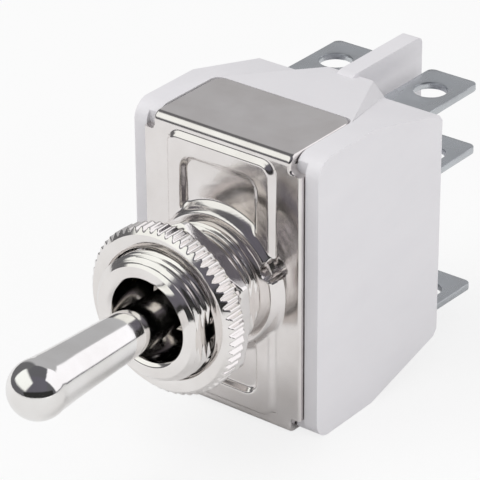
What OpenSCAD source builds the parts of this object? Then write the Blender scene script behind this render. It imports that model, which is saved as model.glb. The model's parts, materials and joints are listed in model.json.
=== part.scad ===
// Panel toggle switch: two poles, centre off, solder lugs at the back.
// Frame: the bushing points along -Y, the lugs along +Y, the long side of the body along Z.
// Origin: where the bushing's axis meets the front plane of the metal frame.

/* [Body] */

// full width of the case, cheek to cheek
case_w = 20.56; // [18:0.02:26]
// full height of the case and of the frame
case_h = 28.1; // [26:0.1:36]
// depth from the frame's front plane to the back of the case
case_depth = 19.45; // [18:0.05:26]
// how far the cheeks stand back behind the frame's front plane
cheek_set_back = 0.55; // [0.3:0.05:0.9]
// depth at which the sides of the case start to slope in
slope_start = 9; // [7:0.1:12]
// height of the case at its back end
back_h = 22.8; // [20:0.1:28]
// thickness of the side walls
side_wall = 1.68; // [1.2:0.02:3]
// thickness of the back wall
back_wall = 2.15; // [1.6:0.05:3]
// how much lower the hollow inside is than the case's back end
cavity_step = 0.3; // [0.2:0.05:1]
// radius of the cheeks' front corners
cheek_round = 1.8; // [0.4:0.1:3]
// radius of the corners at the back end
back_round = 0.5; // [0.2:0.1:1]

/* [Ridge and fin] */

// height of the ridge above the middle, at the back end
ridge_back_z = 12.6; // [12:0.1:14]
// width of the ridge's flat top at the back end
ridge_top_w = 5.1; // [3:0.1:8]
// width of the ridge's foot at the back end
ridge_foot_w = 7.5; // [5:0.1:10]
// thickness of the barrier fin
fin_t = 1.84; // [1:0.02:3]
// height of the fin above the middle
fin_z = 13; // [11:0.1:14]
// where the fin ends
fin_end = 29.7; // [24:0.1:34]
// radius of the fin's corners
fin_round = 0.8; // [0.3:0.1:2]

/* [Frame] */

// thickness of the sheet
sheet_t = 1; // [0.6:0.05:1.4]
// width of each cheek beside the front plate
cheek_w = 1.48; // [1:0.02:3]
// how far the flanges stand in from the plate's sides
flange_step = 1.11; // [0.8:0.01:2]
// where the flanges end
flange_end = 9.2; // [6:0.02:11]
// gap between the flanges' back edges and the case
flange_gap = 0.2; // [0.05:0.05:0.4]
// radius of the flanges' back corners
flange_round = 1; // [0.3:0.1:1.4]
// outer radius of the bends
bend_r = 0.9; // [0.4:0.1:2]
// height of the corner reliefs
relief_h = 1.75; // [1:0.05:3]
// radius at the inner end of the corner reliefs
relief_r = 0.55; // [0.3:0.05:0.8]
// clearance between the frame's edges and the case
frame_gap = 0.05; // [0.02:0.01:0.2]
// height of the raised pad
pad_rise = 0.5; // [0.2:0.05:0.8]
// width of the pad at its foot
pad_w = 12.3; // [10:0.1:15]
// margin between the pad's foot and the top and bottom of the plate
pad_margin = 0.95; // [0.8:0.05:2]
// how far the pad's sides lean in
pad_lean = 0.6; // [0.3:0.05:1.2]
// radius of the pad's corners
pad_round = 1.1; // [0.4:0.1:2]
// half width of the two windows
window_x = 4.3; // [3:0.05:5]
// outer end of the windows
window_z = 11.1; // [9:0.05:12]
// gap between the boss's foot and the windows' arc
window_gap = 0.15; // [0.05:0.05:0.5]
// height of the round boss
boss_rise = 1.2; // [0.6:0.05:2]
// width of the boss's flat top beyond the thread
boss_land = 0.3; // [0.2:0.05:1]
// how far the boss spreads from its top to its foot
boss_flare = 0.95; // [0.4:0.05:1.2]
// radius of the pierced hole
pierce_r = 1; // [0.5:0.1:1.5]
// how far the pierced hole's middle lies beyond the boss's top
pierce_out = 0.55; // [0.3:0.05:2]
// angle of the pierced hole above the middle, in degrees
pierce_turn = 23.2; // [0:0.1:60]

/* [Bushing] */

// thread radius
thread_r = 6; // [5:0.05:8]
// depth of the thread relief
thread_depth = 0.55; // [0.4:0.05:0.8]
// how far the bushing stands out
bushing_out = 10.93; // [8:0.01:14]
// radius of the mouth
mouth_r = 3.99; // [3.5:0.01:5]
// depth of the flat
flat_depth = 0.5; // [0.2:0.05:0.8]
// length of the lead chamfer
lead = 0.7; // [0.3:0.1:1.5]
// how much smaller the neck that passes through the frame is than the thread
neck_step = 0.6; // [0.3:0.05:0.9]
// clearance between the shoulder behind the sheet and the boss's wall
shoulder_gap = 0.2; // [0.1:0.05:0.5]
// thickness of that shoulder
shoulder_t = 0.8; // [0.4:0.1:1]

/* [Nuts] */

// radial clearance of both nuts on the thread
nut_gap = 0.05; // [0.02:0.01:0.1]
// wall of the hexagon over the thread, at its flats
hex_wall = 1; // [0.8:0.05:3]
// hexagon thickness
hex_t = 1.7; // [1.2:0.1:3]
// front face of the hexagon, ahead of the frame's front plane
hex_front = 6.7; // [5:0.05:8]
// turn of the hexagon about the axis
hex_turn = 4; // [0:1:30]
// chamfer on the hexagon's corners
hex_chamfer = 0.4; // [0.2:0.05:0.8]
// wall of the ring nut over the thread, at its teeth
ring_wall = 2.08; // [1.5:0.02:4]
// chamfer round the ring nut's front face
ring_chamfer = 0.58; // [0.3:0.02:1]
// thickness of the ring nut
ring_t = 2.2; // [1.6:0.05:4]
// gap between the two nuts
nut_space = 0.1; // [0.05:0.01:0.4]
// number of teeth
teeth = 58; // [40:1:72]
// depth of the teeth
tooth_depth = 0.4; // [0.15:0.01:0.5]

/* [Lever] */

// radius of the tip
tip_r = 2.72; // [2:0.02:4]
// how far the middle of the tip stands out
tip_out = 24.9; // [18:0.1:32]
// where the taper changes
waist_out = 22; // [16:0.1:26]
// radius where the taper changes
waist_r = 2.48; // [1.8:0.02:3]
// radius at the root
root_r = 1.9; // [1.5:0.02:2.2]
// radius of the ball
ball_r = 3.7; // [3.3:0.02:3.85]
// how far the pivot stands out
pivot_out = 4; // [3:0.1:5]
// length of the tail behind the pivot
tail = 10; // [8:0.1:12]
// radius of the pivot pin
pin_r = 0.8; // [0.5:0.05:1]
// running clearance of the small pins
run_gap = 0.05; // [0.02:0.01:0.1]
// how far the lever throws each way, in degrees
throw = 12; // [8:0.5:14]

/* [Mechanism] */

// radius of the plunger
plunger_r = 1; // [0.7:0.05:1.3]
// distance from the pivot to the middle of the plunger's end
plunger_reach = 11.6; // [10:0.1:13]
// length of the plunger
plunger_len = 5.2; // [4:0.1:6]
// wire radius of the spring
wire_r = 0.14; // [0.1:0.01:0.25]
// turns of the spring
coils = 6; // [4:1:9]
// depth of the rocker's pivot
rocker_y = 12.6; // [11:0.1:14]
// how far the rocker tilts each way, in degrees
tilt = 7; // [4:0.5:9]
// gap between the plunger and the rocker's valley
valley_gap = 0.1; // [0.05:0.01:0.3]
// width of the rocker's cradle
cradle_w = 5.2; // [4:0.1:7]
// gap between the rocker's ends and the side walls
rocker_gap = 0.7; // [0.2:0.05:1]
// radius of the rocker's trunnions
trunnion_r = 0.9; // [0.6:0.05:1.2]
// length of the rocker's trunnions
trunnion_len = 1.3; // [0.8:0.05:1.5]
// distance from the rocker's pivot to the blades
blade_back = 0.8; // [0.6:0.05:1.2]
// thickness of the blades
blade_t = 0.5; // [0.3:0.05:0.7]
// width of the blades
blade_w = 3.6; // [2.6:0.1:4.4]
// half length of the blades
blade_z = 9.6; // [8:0.1:10.2]
// radius of the contact buttons
button_r = 1.2; // [0.8:0.05:1.5]
// height of the contact buttons
button_t = 0.7; // [0.4:0.05:1]
// height at which the contacts meet
button_z = 8.3; // [7:0.1:9]
// gap left between closed contacts
closed_gap = 0.08; // [0.04:0.01:0.2]
// gap between a blade and its fulcrum
fulcrum_gap = 0.1; // [0.05:0.01:0.3]

/* [Lugs] */

// thickness of the lugs
lug_t = 0.7; // [0.5:0.05:1]
// width of the lugs
lug_w = 5.44; // [4:0.02:6.35]
// distance between the two columns
lug_pitch = 10.86; // [9:0.02:14]
// where the lugs end
lug_end = 28.55; // [24:0.05:34]
// radius of the lugs' corners
lug_round = 0.7; // [0.2:0.1:1.5]
// radius of the holes
lug_hole_r = 1.6; // [1:0.05:1.8]
// where the holes are
lug_hole_y = 24.55; // [22:0.05:30]
// height of the upper row
upper_row = 10.25; // [9:0.05:12]
// how far the lower row lies below the middle
lower_row = 10.7; // [9:0.05:12]
// height of the common row
common_row = 3.74; // [0:0.02:5]
// width of the legs inside the case
leg_w = 4; // [3:0.1:4.6]

/* [Hidden] */

$fn = 48;
eps = 0.01;
far = 40;
half_w = case_w / 2;
half_h = case_h / 2;
half_back = back_h / 2;
cavity_x = half_w - side_wall;
cavity_z = half_back - cavity_step;
cavity_end = case_depth - back_wall;
flange_z = half_h - sheet_t;
plate_x = half_w - cheek_w;
plate_w = 2 * plate_x;
flange_x = plate_x - flange_step;
slot_x = flange_x + frame_gap;
relief_z = half_h - relief_h;
pad_z = half_h - pad_margin;
boss_top_r = thread_r + boss_land;
boss_foot_r = boss_top_r + boss_flare;
window_arc = boss_foot_r + window_gap;
pierce_x = (boss_top_r + pierce_out) * cos(pierce_turn);
pierce_z = (boss_top_r + pierce_out) * sin(pierce_turn);
flat_x = thread_r - flat_depth;
neck_r = thread_r - neck_step;
shoulder_r = boss_top_r - shoulder_gap;
hex_af = 2 * (thread_r + hex_wall);
ring_r = thread_r + ring_wall;
ring_face_r = ring_r - ring_chamfer;
rocker_x = cavity_x - rocker_gap;
lug_x = lug_pitch / 2;
ridge_foot_z = half_back;
thread_root = thread_r - thread_depth;
relief_front = hex_front + nut_space + ring_t + 0.05;
relief_len = 0.7;
ring_back = hex_front + nut_space;
bushing_back = -(boss_rise - sheet_t) + shoulder_t;
ball_cut = 1.4;
bore_back = 2.2;
// rocker and plunger: the path of the plunger's end, seen from the tilted rocker
reach_mid = rocker_y + pivot_out - plunger_reach;
end_y = plunger_reach * cos(throw) - pivot_out - rocker_y;
end_z = plunger_reach * sin(throw);
seen_y = end_y * cos(tilt) - end_z * sin(tilt);
seen_z = end_y * sin(tilt) + end_z * cos(tilt);
rise = -reach_mid - seen_y;
path_r = (seen_z * seen_z + rise * rise) / (2 * rise);
valley_r = path_r + plunger_r + valley_gap;
valley_y = rocker_y - reach_mid - path_r;
lip_z = 3.4;
button_top = blade_back + blade_t + button_t;
fixed_top = rocker_y + button_top * cos(tilt) + (button_z + button_r) * sin(tilt) + closed_gap;
leg_y = cavity_end - lug_t;
fulcrum_r = 0.5;
fulcrum_y = rocker_y + blade_back + blade_t + fulcrum_gap + fulcrum_r;

// ---- helpers ----

// extrudes a (y, z) outline along X, centred
module across(w) {
  rotate([90, 0, 90]) translate([0, 0, -w / 2]) linear_extrude(w) children();
}

// extrudes an (x, z) outline along Y from y0 to y1
module deep(y0, y1) {
  translate([0, y1, 0]) rotate([90, 0, 0]) linear_extrude(y1 - y0) children();
}

// cylinder or cone along Y
module rod(y0, y1, r0, r1) {
  translate([0, y0, 0]) rotate([-90, 0, 0]) cylinder(h = y1 - y0, r1 = r0, r2 = r1);
}

// box from two corners
module block(a, b) {
  translate(a) cube([b[0] - a[0], b[1] - a[1], b[2] - a[2]]);
}

module both_z() {
  children();
  mirror([0, 0, 1]) children();
}

module both_x() {
  children();
  mirror([1, 0, 0]) children();
}

// rounded rectangle around the origin, or from two corners
module pill(x0, y0, x1, y1, r) {
  translate([x0 + r, y0]) square([x1 - x0 - 2 * r, y1 - y0]);
  translate([x0, y0 + r]) square([x1 - x0, y1 - y0 - 2 * r]);
  for (x = [x0 + r, x1 - r], y = [y0 + r, y1 - r]) translate([x, y]) circle(r);
}

// ---- case ----

// side outline of the cheeks
module cheek_outline() {
  r = cheek_round;
  polygon([[cheek_set_back, 0], [cheek_set_back, half_h - r], [cheek_set_back + r, half_h],
           [slope_start, half_h], [case_depth - back_round, half_back + 0.12],
           [case_depth, half_back - back_round], [case_depth, 0]]);
  translate([cheek_set_back + r, half_h - r]) circle(r);
}

// ridge between the cheeks, hipped on both sides, behind the flange
module ridge() {
  b = [slot_x, slope_start, half_h];
  c = [ridge_top_w / 2, case_depth, ridge_back_z];
  d = [ridge_foot_w / 2, case_depth, ridge_foot_z];
  n = -cross(c - b, d - b);
  u = n / norm(n);
  difference() {
    across(2 * slot_x) polygon([[slope_start, half_back - 2], [slope_start, half_h],
                                [case_depth, ridge_back_z], [case_depth, half_back - 2]]);
    both_x() translate(b) rotate([0, acos(u[2]), atan2(u[1], u[0])])
      translate([-far, -far, 0]) cube(2 * far);
  }
}

module fin() {
  across(fin_t) pill(cavity_end + 1, -fin_z, fin_end, fin_z, fin_round);
}

module lug_slots() {
  for (x = [-lug_x, lug_x], z = [upper_row, common_row, -lower_row])
    translate([x, 0, z]) block([-lug_w / 2, cavity_end - eps, -lug_t / 2], [lug_w / 2, far, lug_t / 2]);
}

module case() {
  color([0.91, 0.9, 0.92]) {
    difference() {
      union() {
        across(case_w) both_z_2d() cheek_outline();
        both_z() ridge();
        fin();
      }
      block([-plate_x - frame_gap, -1, -far], [plate_x + frame_gap, sheet_t, far]);
      both_z() deep_z(flange_z, far) pill(-slot_x, -3, slot_x, flange_end + flange_gap, flange_round + frame_gap);
      block([-cavity_x, -1, -cavity_z], [cavity_x, cavity_end, cavity_z]);
      both_x() translate([rocker_x, rocker_y, 0]) rotate([0, 90, 0])
        cylinder(h = trunnion_len + run_gap, r = trunnion_r + run_gap);
      lug_slots();
    }
    web();
  }
}

module both_z_2d() {
  children();
  mirror([0, 1]) children();
}

// wall between the two poles, behind the rocker
module web() {
  block([-fin_t / 2, rocker_y + 2.2, -cavity_z - eps], [fin_t / 2, cavity_end + eps, cavity_z + eps]);
}

// ---- frame ----

// everything behind the pressed front surface
module pressed() {
  difference() {
    union() {
      block([-far / 2, 0, -far / 2], [far / 2, 4, far / 2]);
      pad();
      rod(-boss_rise, eps, boss_top_r, boss_foot_r);
    }
    both_z() window();
  }
}

// raised pad with leaning sides
module pad() {
  hull() {
    deep(-pad_rise, -pad_rise + eps) pill(-pad_w / 2 + pad_lean, -pad_z + pad_lean,
                                          pad_w / 2 - pad_lean, pad_z - pad_lean, pad_round);
    deep(0, eps) pill(-pad_w / 2, -pad_z, pad_w / 2, pad_z, pad_round);
  }
}

// window pressed back to the plate, its inner end following the boss
module window() {
  difference() {
    hull() {
      deep(-pad_rise - eps, -pad_rise) pill(-window_x - 0.25, 0, window_x + 0.25, window_z + 0.25, 1.2);
      deep(-eps, 0) pill(-window_x + 0.25, 0, window_x - 0.25, window_z - 0.25, 0.9);
    }
    rod(-pad_rise - 2 * eps, eps, window_arc - 0.35, window_arc + 0.1);
  }
}

module frame_outline() {
  difference() {
    square([plate_w, case_h], center = true);
    for (sx = [-1, 1], sz = [-1, 1]) scale([sx, sz]) {
      translate([flange_x, relief_z + relief_r]) square(5);
      translate([flange_x + relief_r, relief_z + relief_r]) circle(relief_r);
      translate([flange_x + relief_r, relief_z]) square(5);
    }
    translate([pierce_x, pierce_z]) circle(pierce_r);
  }
}

module frame() {
  color([0.8, 0.78, 0.76]) {
    difference() {
      intersection() {
        pressed();
        deep(-boss_rise - 1, sheet_t) frame_outline();
        across(plate_w) pill(-2, -half_h, flange_end, half_h, bend_r);
      }
      translate([0, sheet_t, 0]) pressed();
      rod(-boss_rise - 1, 2, neck_r, neck_r);
      both_z() bend_cut();
    }
    both_z() flange();
  }
}

// takes the outer corner of the plate away where the bend is
module bend_cut() {
  block([-far / 2, -eps, half_h - bend_r], [far / 2, bend_r, half_h + 1]);
}

module flange() {
  across(2 * flange_x) difference() {
    union() {
      translate([bend_r, half_h - bend_r]) circle(bend_r);
      translate([bend_r, half_h - sheet_t]) square([flange_end - bend_r - flange_round, sheet_t]);
    }
    translate([sheet_t, half_h - 2 * sheet_t - 1]) square([sheet_t, sheet_t + 1]);
    translate([-1, half_h - bend_r - 4]) square([4, 4]);
  }
  deep_z(flange_z, half_h) pill(-flange_x, flange_end - 3, flange_x, flange_end, flange_round);
}

// extrudes an (x, y) outline along Z
module deep_z(z0, z1) {
  translate([0, 0, z0]) linear_extrude(z1 - z0) children();
}

// ---- bushing and nuts ----

module bushing() {
  color([0.84, 0.82, 0.79]) difference() {
    union() {
      rod(-bushing_out, lead - bushing_out, thread_r - lead, thread_r);
      rod(lead - bushing_out, -relief_front, thread_r, thread_r);
      rod(-relief_front - eps, relief_len - relief_front + eps, thread_root, thread_root);
      rod(relief_len - relief_front, -boss_rise - 0.7, thread_r, thread_r);
      rod(-boss_rise - 0.7 - eps, -boss_rise, thread_r - 0.3, neck_r);
      rod(-boss_rise - eps, bushing_back, neck_r, neck_r);
      rod(bushing_back - shoulder_t, bushing_back, shoulder_r, shoulder_r - 0.1);
    }
    block([flat_x, -bushing_out - 1, -thread_r], [far, -boss_rise - 0.7, thread_r]);
    rod(-bushing_out - 1, bushing_back + 1, mouth_r, mouth_r);
    rod(-bushing_out - eps, -bushing_out + 0.3, mouth_r + 0.3, mouth_r);
    block([-thread_root + 0.35, -pivot_out, -pin_r - run_gap],
          [thread_root - 0.35, bushing_back + 1, pin_r + run_gap]);
    translate([-thread_root + 0.35, -pivot_out, 0]) rotate([0, 90, 0])
      cylinder(h = 2 * thread_root - 0.7, r = pin_r + run_gap);
  }
}

// seat and clearance of a nut's bore, with a chamfer at each end
module nut_bore(y0, y1) {
  r = thread_r + nut_gap;
  rod(y0 - 1, y1 + 1, r, r);
  rod(y0 - eps, y0 + 0.35, r + 0.35, r);
  rod(y1 - 0.35, y1 + eps, r, r + 0.35);
}

module hex_nut() {
  r = hex_af / 2;
  corner = hex_af / sqrt(3);
  c = hex_chamfer;
  color([0.86, 0.84, 0.81]) difference() {
    intersection() {
      translate([0, -hex_front, 0]) rotate([-90, 30 + hex_turn, 0]) cylinder(h = hex_t, r = corner, $fn = 6);
      union() {
        rod(-hex_front, c - hex_front, r + 0.15, corner + 0.02);
        rod(c - hex_front, hex_t - c - hex_front, corner + 0.02, corner + 0.02);
        rod(hex_t - c - hex_front, hex_t - hex_front, corner + 0.02, r + 0.15);
      }
    }
    nut_bore(-hex_front, hex_t - hex_front);
  }
}

// outline of the toothed ring: flat crests with a V between them
module toothed(r, n, d) {
  step = 360 / n;
  polygon([for (i = [0:n - 1], k = [-0.2, 0.2, 0.5])
    (r - (k == 0.5 ? d : 0)) * [cos((i + k) * step), sin((i + k) * step)]]);
}

module ring_nut() {
  y0 = -ring_back - ring_t;
  y1 = -ring_back;
  c = ring_r - ring_face_r;
  color([0.86, 0.84, 0.81]) difference() {
    intersection() {
      deep(y0, y1) toothed(ring_r, teeth, tooth_depth);
      union() {
        rod(y0, y0 + c + 0.1, ring_face_r, ring_r + 0.1);
        rod(y0 + c + 0.1, y1 - 0.25, ring_r + 0.1, ring_r + 0.1);
        rod(y1 - 0.25, y1, ring_r + 0.1, ring_r - 0.15);
      }
    }
    nut_bore(y0, y1);
  }
}

// ---- lever ----

module lever() {
  color([0.88, 0.87, 0.86]) difference() {
    union() {
      translate([0, -tip_out, 0]) sphere(tip_r);
      rod(-tip_out, -waist_out, tip_r - 0.02, waist_r);
      rod(-waist_out, -pivot_out - 3, waist_r, root_r);
      intersection() {
        translate([0, -pivot_out, 0]) sphere(ball_r);
        rod(-pivot_out - ball_r, -pivot_out + ball_cut, far, far);
      }
      rod(-pivot_out - 3.2, tail - pivot_out, root_r, root_r);
    }
    rod(-pivot_out + bore_back, tail, plunger_r + run_gap, plunger_r + run_gap);
    translate([-far / 2, -pivot_out, 0]) rotate([0, 90, 0]) cylinder(h = far, r = pin_r);
  }
}

module pivot_pin() {
  half = thread_root - 0.45;
  color([0.7, 0.7, 0.72]) translate([-half, -pivot_out, 0]) rotate([0, 90, 0]) cylinder(h = 2 * half, r = pin_r);
}

// ring with two legs that keep the pivot pin at the front of its slots
module retainer() {
  y0 = -pivot_out + 2.35;
  color([0.75, 0.6, 0.3]) {
    difference() {
      rod(y0, y0 + 0.8, mouth_r - 0.02, mouth_r - 0.02);
      rod(y0 - 1, y0 + 2, root_r + 1, root_r + 1);
    }
    both_x() block([mouth_r - 0.2, -pivot_out + pin_r + run_gap, -pin_r + 0.1],
                   [thread_root - 0.45, y0 + 0.8, pin_r - 0.1]);
  }
}

// ---- mechanism ----

module plunger() {
  y1 = plunger_reach - pivot_out;
  y0 = y1 + plunger_r - plunger_len;
  color([0.75, 0.6, 0.3]) {
    rod(y0, y1, plunger_r, plunger_r);
    translate([0, y1, 0]) sphere(plunger_r);
  }
}

// round wire wound along Y
module coil(y0, y1, r, w, turns) {
  per_turn = 16;
  sides = 6;
  steps = per_turn * turns;
  y_at = function (i) y0 + w + (y1 - y0 - 2 * w) * i / steps;
  points = [for (i = [0:steps], k = [0:sides - 1])
    let (a = i * 360 / per_turn, b = k * 360 / sides, q = r + w * cos(b))
    [q * cos(a), y_at(i) + w * sin(b), q * sin(a)]];
  faces = concat(
    [for (i = [0:steps - 1], k = [0:sides - 1])
      [i * sides + k, (i + 1) * sides + k, (i + 1) * sides + (k + 1) % sides, i * sides + (k + 1) % sides]],
    [[for (k = [0:sides - 1]) k]],
    [[for (k = [0:sides - 1]) steps * sides + sides - 1 - k]]);
  polyhedron(points, faces);
}

module plunger_spring() {
  color([0.6, 0.6, 0.62]) coil(-pivot_out + bore_back + 0.02, plunger_reach - pivot_out + plunger_r - plunger_len - 0.02,
                               plunger_r - wire_r - 0.05, wire_r, coils);
}

// moulded cover between the frame and the mechanism, with a window for the lever's tail
module inner_cover() {
  color([0.2, 0.2, 0.22]) difference() {
    deep(sheet_t, sheet_t + 1.2) pill(-cavity_x, -cavity_z, cavity_x, cavity_z, 0.6);
    deep(0, 4) pill(-3, -5, 3, 5, 2.4);
  }
}

module rocker() {
  front = valley_y + sqrt(valley_r * valley_r - lip_z * lip_z);
  back = rocker_y + blade_back;
  color([0.86, 0.82, 0.72]) difference() {
    union() {
      across(cradle_w) polygon([[front, -lip_z], [front, -lip_z - 0.6], [rocker_y - 1.2, -lip_z - 1.2], [back, -lip_z - 1.2],
                                [back, lip_z + 1.2], [rocker_y - 1.2, lip_z + 1.2], [front, lip_z + 0.6], [front, lip_z]]);
      across(2 * rocker_x) polygon([[back, -2.4], [back, 2.4], [rocker_y - 0.6, 1.6], [rocker_y - 1.5, 0.8],
                                    [rocker_y - 1.5, -0.8], [rocker_y - 0.6, -1.6]]);
      both_x() translate([rocker_x - eps, rocker_y, 0]) rotate([0, 90, 0]) cylinder(h = trunnion_len - 0.15, r = trunnion_r);
    }
    translate([-far / 2, valley_y, 0]) rotate([0, 90, 0]) cylinder(h = far, r = valley_r);
  }
}

// sprung strip with a dimple over the fulcrum and a set in each arm
module blade(x) {
  y = rocker_y + blade_back;
  color([0.8, 0.5, 0.3]) translate([x, 0, 0]) difference() {
    across(blade_w) polygon([[y, -blade_z], [y + blade_t, -blade_z], [y + blade_t, blade_z], [y, blade_z]]);
    both_z() translate([0, y + blade_t / 2, 5.2]) block([-0.5, -1, -1.4], [0.5, 1, 1.2]);
  }
}

module button(x, s) {
  y = rocker_y + blade_back + blade_t;
  color([0.85, 0.85, 0.88]) translate([x, 0, s * button_z]) {
    rod(y, y + button_t - 0.2, button_r, button_r);
    rod(y + button_t - 0.2, y + button_t, button_r, button_r - 0.4);
  }
}

// ---- terminals ----

module lug(z) {
  deep_z(z - lug_t / 2, z + lug_t / 2) difference() {
    union() {
      pill(-lug_w / 2, lug_end - 4, lug_w / 2, lug_end, lug_round);
      translate([-lug_w / 2, leg_y + lug_t]) square([lug_w, lug_end - 2 - leg_y - lug_t]);
      translate([-leg_w / 2, leg_y]) square([leg_w, lug_t + eps]);
    }
    translate([0, lug_hole_y]) circle(lug_hole_r);
  }
}

// outer terminal: lug, and a leg that carries the fixed button
module outer_terminal(x, s) {
  color([0.78, 0.8, 0.81]) translate([x, 0, 0]) {
    if (s > 0) outer_half(upper_row);
    else mirror([0, 0, 1]) outer_half(lower_row);
  }
}

module outer_half(row) {
  lug(row);
  block([-leg_w / 2, leg_y, button_z - button_r - 0.3], [leg_w / 2, cavity_end, row + lug_t / 2]);
}

// common terminal: lug, leg down to the middle and the fulcrum of the blade
module common_terminal(x) {
  color([0.78, 0.8, 0.81]) translate([x, 0, 0]) {
    lug(common_row);
    block([-leg_w / 2, leg_y, -1.6], [leg_w / 2, cavity_end, common_row + lug_t / 2]);
    across(leg_w - 1) {
      translate([fulcrum_y, -fulcrum_r]) square([leg_y - fulcrum_y + eps, 2 * fulcrum_r]);
      translate([fulcrum_y, 0]) circle(fulcrum_r);
    }
  }
}

module fixed(x, s) {
  color([0.85, 0.85, 0.88]) translate([x, 0, s * button_z]) {
    rod(fixed_top, fixed_top + 0.2, button_r - 0.3, button_r + 0.1);
    rod(fixed_top + 0.2, leg_y, button_r + 0.1, button_r + 0.1);
  }
}

module blade_a() { blade(-lug_x); }
module blade_b() { blade(lug_x); }
module button_a_up() { button(-lug_x, 1); }
module button_a_down() { button(-lug_x, -1); }
module button_b_up() { button(lug_x, 1); }
module button_b_down() { button(lug_x, -1); }
module terminal_a_up() { outer_terminal(-lug_x, 1); }
module terminal_a_common() { common_terminal(-lug_x); }
module terminal_a_down() { outer_terminal(-lug_x, -1); }
module terminal_b_up() { outer_terminal(lug_x, 1); }
module terminal_b_common() { common_terminal(lug_x); }
module terminal_b_down() { outer_terminal(lug_x, -1); }
module fixed_a_up() { fixed(-lug_x, 1); }
module fixed_a_down() { fixed(-lug_x, -1); }
module fixed_b_up() { fixed(lug_x, 1); }
module fixed_b_down() { fixed(lug_x, -1); }

case();
frame();
bushing();
hex_nut();
ring_nut();
lever();
pivot_pin();
retainer();
plunger();
plunger_spring();
inner_cover();
rocker();
blade_a();
blade_b();
button_a_up();
button_a_down();
button_b_up();
button_b_down();
terminal_a_up();
terminal_a_common();
terminal_a_down();
terminal_b_up();
terminal_b_common();
terminal_b_down();
fixed_a_up();
fixed_a_down();
fixed_b_up();
fixed_b_down();
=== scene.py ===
"""Looks of the panel toggle switch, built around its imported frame.

Lengths inside the shape functions are in millimetres; meshes are written in metres.
The bushing points along -Y, the lugs along +Y and the long side of the body along Z.
"""

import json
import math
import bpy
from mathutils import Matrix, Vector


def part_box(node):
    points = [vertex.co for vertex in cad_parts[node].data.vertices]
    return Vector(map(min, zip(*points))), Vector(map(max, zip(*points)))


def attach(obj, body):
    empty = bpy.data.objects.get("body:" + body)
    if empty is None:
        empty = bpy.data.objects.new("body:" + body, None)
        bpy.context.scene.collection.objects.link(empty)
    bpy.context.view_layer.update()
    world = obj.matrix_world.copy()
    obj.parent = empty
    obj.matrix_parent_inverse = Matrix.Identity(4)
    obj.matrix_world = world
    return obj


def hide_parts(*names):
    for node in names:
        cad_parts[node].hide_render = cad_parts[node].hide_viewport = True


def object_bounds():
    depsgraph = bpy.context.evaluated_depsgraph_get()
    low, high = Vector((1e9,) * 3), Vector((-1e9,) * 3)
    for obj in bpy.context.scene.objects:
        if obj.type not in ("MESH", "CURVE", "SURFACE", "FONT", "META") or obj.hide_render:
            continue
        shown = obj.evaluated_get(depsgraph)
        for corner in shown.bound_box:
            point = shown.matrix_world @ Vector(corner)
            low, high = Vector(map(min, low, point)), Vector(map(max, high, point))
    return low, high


bl_info = {
    "name": "Panel Toggle Switch",
    "version": (1, 0, 0),
    "blender": (4, 5, 0),
    "location": "View3D > Sidebar > Switch",
    "description": "Builds the visible pieces and finishes of a two-pole panel toggle switch",
    "category": "Add Mesh",
}

import bmesh
import bpy
import numpy as np
from mathutils import Matrix, Vector

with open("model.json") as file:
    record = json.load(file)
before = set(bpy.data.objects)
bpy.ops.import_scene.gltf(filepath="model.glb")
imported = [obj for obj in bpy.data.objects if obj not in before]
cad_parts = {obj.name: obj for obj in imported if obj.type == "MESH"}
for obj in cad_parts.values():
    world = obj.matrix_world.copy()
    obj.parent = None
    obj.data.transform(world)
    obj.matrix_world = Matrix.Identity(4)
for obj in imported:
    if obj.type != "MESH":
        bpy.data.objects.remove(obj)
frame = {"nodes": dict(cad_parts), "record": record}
NODES = frame["nodes"]
CAD_BOX = [[float(v) for v in corner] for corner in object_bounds()]
MM = 0.001
TAU = 2 * math.pi
EASE = 0.28  # radius on the sheet's blanked edges
PIERCED_AT = (6.25, 2.7)  # middle of the frame's pierced hole, as (x, z)
RELIEF_Z, RELIEF_R = 12.3, 0.55  # start and radius of the frame's corner reliefs
WINDOW_HALF = (4.06, 10.85)  # half sizes of the outline that the two windows share
NUT_BORE = 6.05
RING_TOP = 8.08  # radius over the ring nut's teeth
PIVOT_Y, BALL_R = -4.0, 3.7
LUG_THICK, LUG_CORNER = 0.7, 0.7
LUG_START, LUG_HOLE_Y, LUG_HOLE_R = 18.6, 24.55, 1.6
LEG_Y = (16.61, 17.29)  # front and back of the lugs' legs


def node_box(node):
    """Lowest and highest corner of a CAD node, in millimetres."""
    low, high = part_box(node)
    return np.array(low) / MM, np.array(high) / MM


FRAME_HIGH = node_box("frame")[1]
BUSH_LOW, BUSH_HIGH = node_box("bushing")
HEX_LOW, HEX_HIGH = node_box("hex_nut")
RING_LOW, RING_HIGH = node_box("ring_nut")
LEVER_HIGH = node_box("lever")[1]


# ---------------------------------------------------------------- settings


def length(name, text, value):
    """A length in metres, given here in millimetres."""
    return bpy.props.FloatProperty(
        name=name, description=text, default=value * MM, min=0.0, unit="LENGTH", precision=5
    )


def colour(name, text, value):
    """A linear colour."""
    return bpy.props.FloatVectorProperty(
        name=name, description=text, default=value, size=3, min=0.0, max=1.0, subtype="COLOR"
    )


def share(name, text, value, top=1.0):
    """A plain number from 0 up."""
    return bpy.props.FloatProperty(name=name, description=text, default=value, min=0.0, max=top)


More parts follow.
